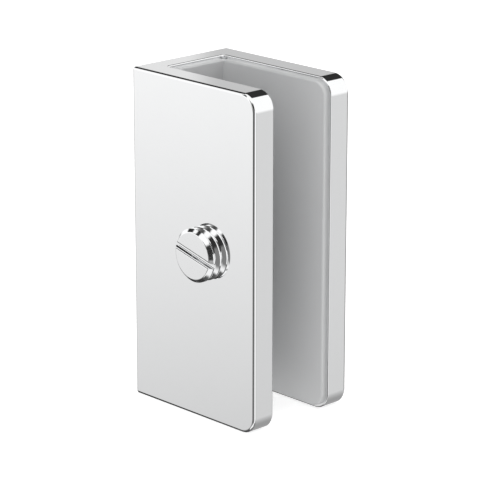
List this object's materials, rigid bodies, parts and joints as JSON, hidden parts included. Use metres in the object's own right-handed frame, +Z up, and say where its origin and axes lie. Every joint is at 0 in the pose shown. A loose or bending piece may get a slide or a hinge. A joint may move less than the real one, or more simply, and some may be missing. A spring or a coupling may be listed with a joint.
{
  "type": "glass panel clamp",
  "caption": "U-shaped wall clamp that holds the edge of a glass panel between a moulded liner and a padded pressure plate driven by a slotted screw.",
  "frame": {"origin": "centre of the flat wall face, on the mid-plane of the channel and half way up the body", "axes": "+X away from the wall, towards the open side of the channel; +Y from the screwed cheek to the fixed cheek; +Z up, along the edge of the glass"},
  "size_m": [0.0255, 0.0223, 0.05],
  "materials": {
    "polished_chrome": "mirror polished, chromium plated",
    "screw_chrome": "bright chromium plated thread",
    "liner_plastic": "pale grey moulded soft plastic, satin",
    "plate_steel": "plain stamped stainless steel"
  },
  "bodies": {
    "body": {"clamp_body": "polished_chrome", "channel_liner": "liner_plastic"},
    "jaw": {"pressure_plate": "plate_steel", "jaw_pad": "liner_plastic"},
    "screw": {"clamp_screw": "screw_chrome"}
  },
  "joints": [
    {"name": "jaw_travel", "type": "slide", "parent": "body", "child": "jaw", "axis": [0, 1, 0], "range_m": [0, 0.0036]},
    {"name": "screw_turn", "type": "hinge", "parent": "jaw", "child": "screw", "pos_m": [0.0165, -0.01295, 0.0008], "axis": [0, 1, 0], "range_deg": [0, 1037]}
  ],
  "couplings": [
    {"joint": "screw_turn", "follows": "jaw_travel", "rad_per_m": 5026.5}
  ]
}
